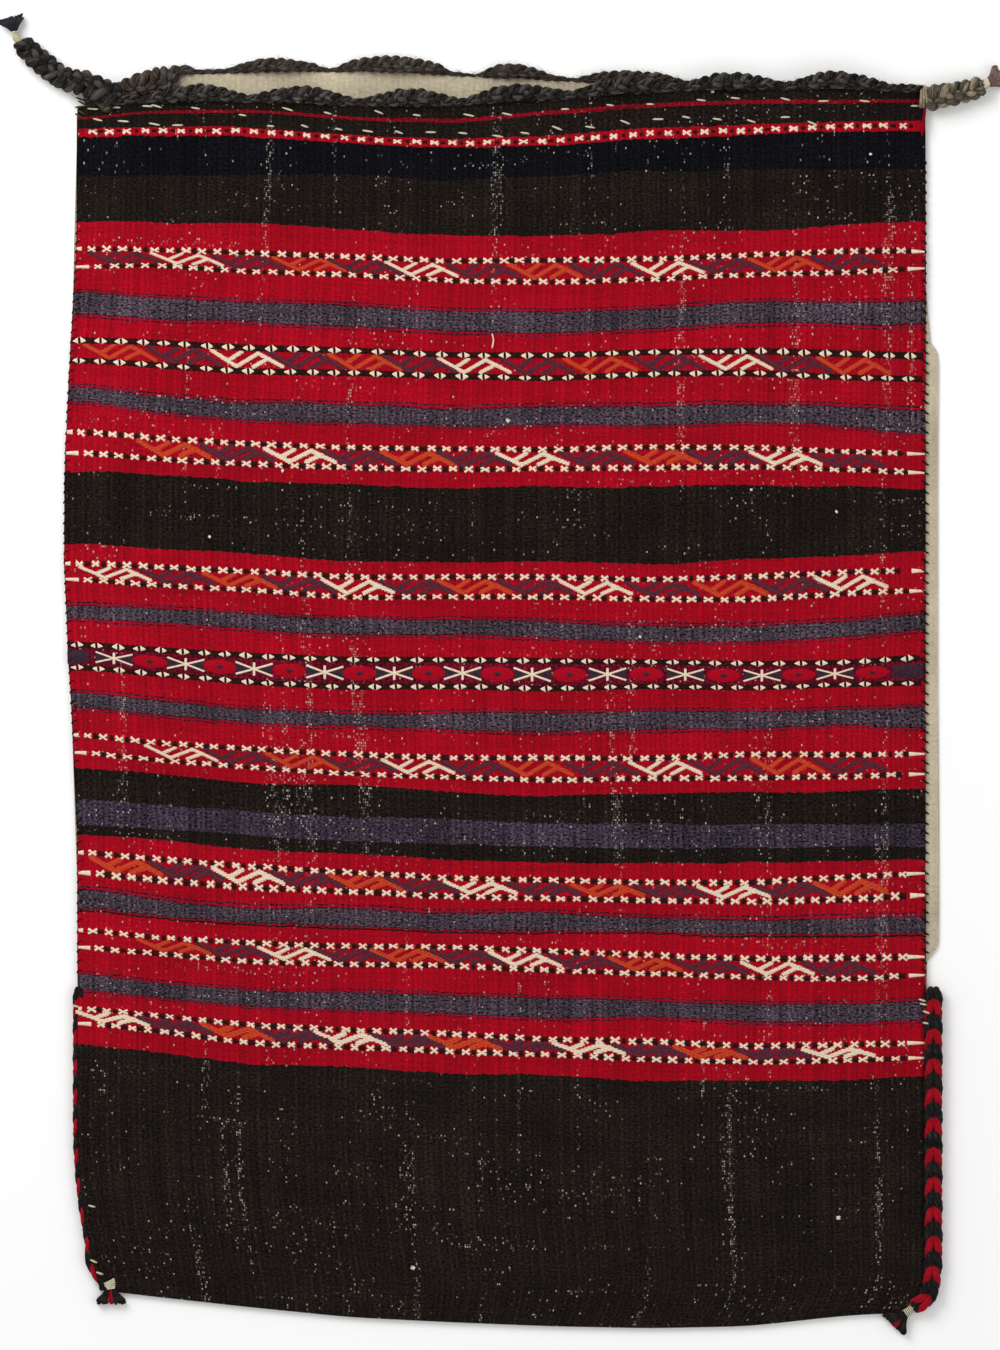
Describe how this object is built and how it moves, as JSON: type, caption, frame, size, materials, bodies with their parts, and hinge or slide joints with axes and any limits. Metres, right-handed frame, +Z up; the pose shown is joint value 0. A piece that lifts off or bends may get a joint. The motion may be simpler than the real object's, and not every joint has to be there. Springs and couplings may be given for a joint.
{
  "type": "woven wool storage bag",
  "caption": "Flat-woven wool storage bag with an open mouth, brocaded bands, a plain back, and plaited cords sewn along its mouth and lower sides.",
  "frame": {"origin": "centre of the lying bag's box, at the level of its underside", "axes": "+Z up from the floor through the patterned face, +Y from the folded end towards the mouth, +X towards the side where the plain back shows past the front"},
  "size_m": [0.8612, 1.1292, 0.0309],
  "materials": {
    "patterned_wool": "matt weft-faced wool in crimson, brown-black, navy and slate blue, brocaded in ivory, orange and blue, with a plain ivory back",
    "goat_hair": "coarse plaited goat hair, dark brown to black with grey hairs",
    "plait_wool": "plaited wool in crimson and black",
    "binding_thread": "wound ivory wool thread",
    "seam_thread": "black overcast sewing"
  },
  "bodies": {
    "root": {"sack_cloth": "patterned_wool", "front_mouth_braid": "goat_hair", "back_mouth_braid": "goat_hair", "left_tail": "goat_hair", "left_tail_tie": "binding_thread", "right_tail": "goat_hair", "right_tail_tie": "binding_thread", "left_side_braid": "plait_wool", "left_side_braid_tie": "binding_thread", "right_side_braid": "plait_wool", "right_side_braid_tie": "binding_thread", "left_seam_thread": "seam_thread", "right_seam_thread": "seam_thread"}
  },
  "joints": []
}
